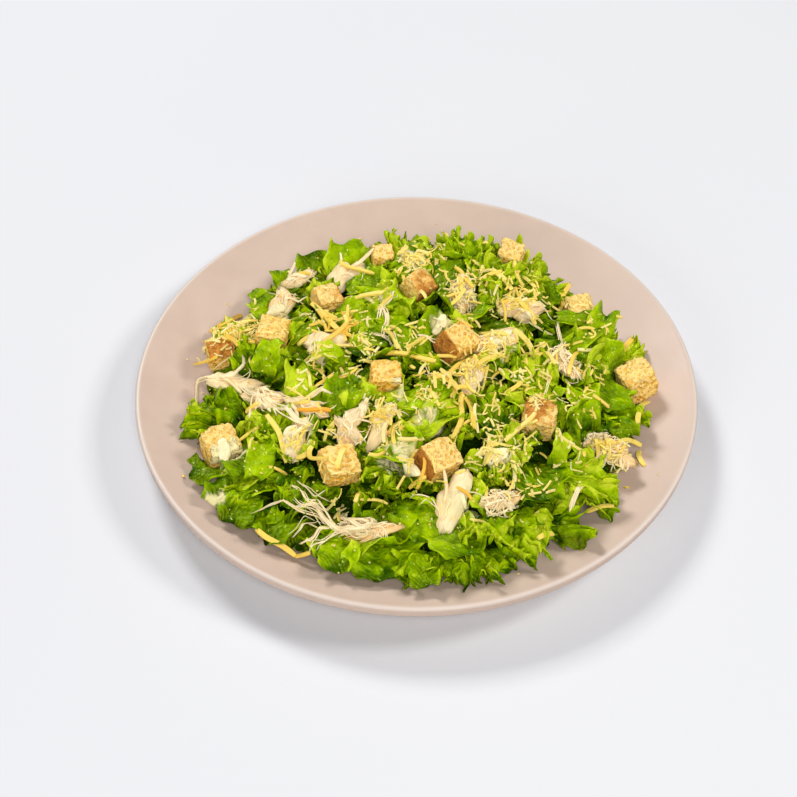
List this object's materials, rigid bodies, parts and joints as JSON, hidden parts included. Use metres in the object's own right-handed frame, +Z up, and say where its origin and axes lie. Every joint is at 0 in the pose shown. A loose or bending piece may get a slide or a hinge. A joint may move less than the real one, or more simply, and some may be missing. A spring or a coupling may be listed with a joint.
{
  "type": "chicken caesar salad",
  "caption": "Chicken caesar salad heaped on a round coupe plate: torn lettuce with croutons, pulled chicken, grated cheese and dressing.",
  "frame": {"origin": "centre of the plate's foot, on the table", "axes": "+Z up from the table, -Y towards the diner's side that is seen from the front, +X to the right"},
  "size_m": [0.27, 0.27, 0.0499],
  "materials": {
    "plate": "matte",
    "greens": "satin",
    "crouton": "matte",
    "chicken": "satin"
  },
  "bodies": {
    "root": {"plate": "plate", "salad_heap": "greens", "crouton_01": "crouton", "crouton_02": "crouton", "crouton_03": "crouton", "crouton_04": "crouton", "crouton_05": "crouton", "crouton_06": "crouton", "crouton_07": "crouton", "crouton_08": "crouton", "crouton_09": "crouton", "crouton_10": "crouton", "crouton_11": "crouton", "crouton_12": "crouton", "crouton_13": "crouton", "crouton_14": "crouton", "chicken_01": "chicken", "chicken_02": "chicken", "chicken_03": "chicken", "chicken_04": "chicken", "chicken_05": "chicken", "chicken_06": "chicken", "chicken_07": "chicken", "chicken_08": "chicken", "chicken_09": "chicken", "chicken_10": "chicken", "chicken_11": "chicken", "chicken_12": "chicken", "chicken_13": "chicken", "chicken_14": "chicken", "chicken_15": "chicken", "chicken_16": "chicken", "chicken_17": "chicken", "chicken_18": "chicken", "chicken_19": "chicken"}
  },
  "joints": []
}
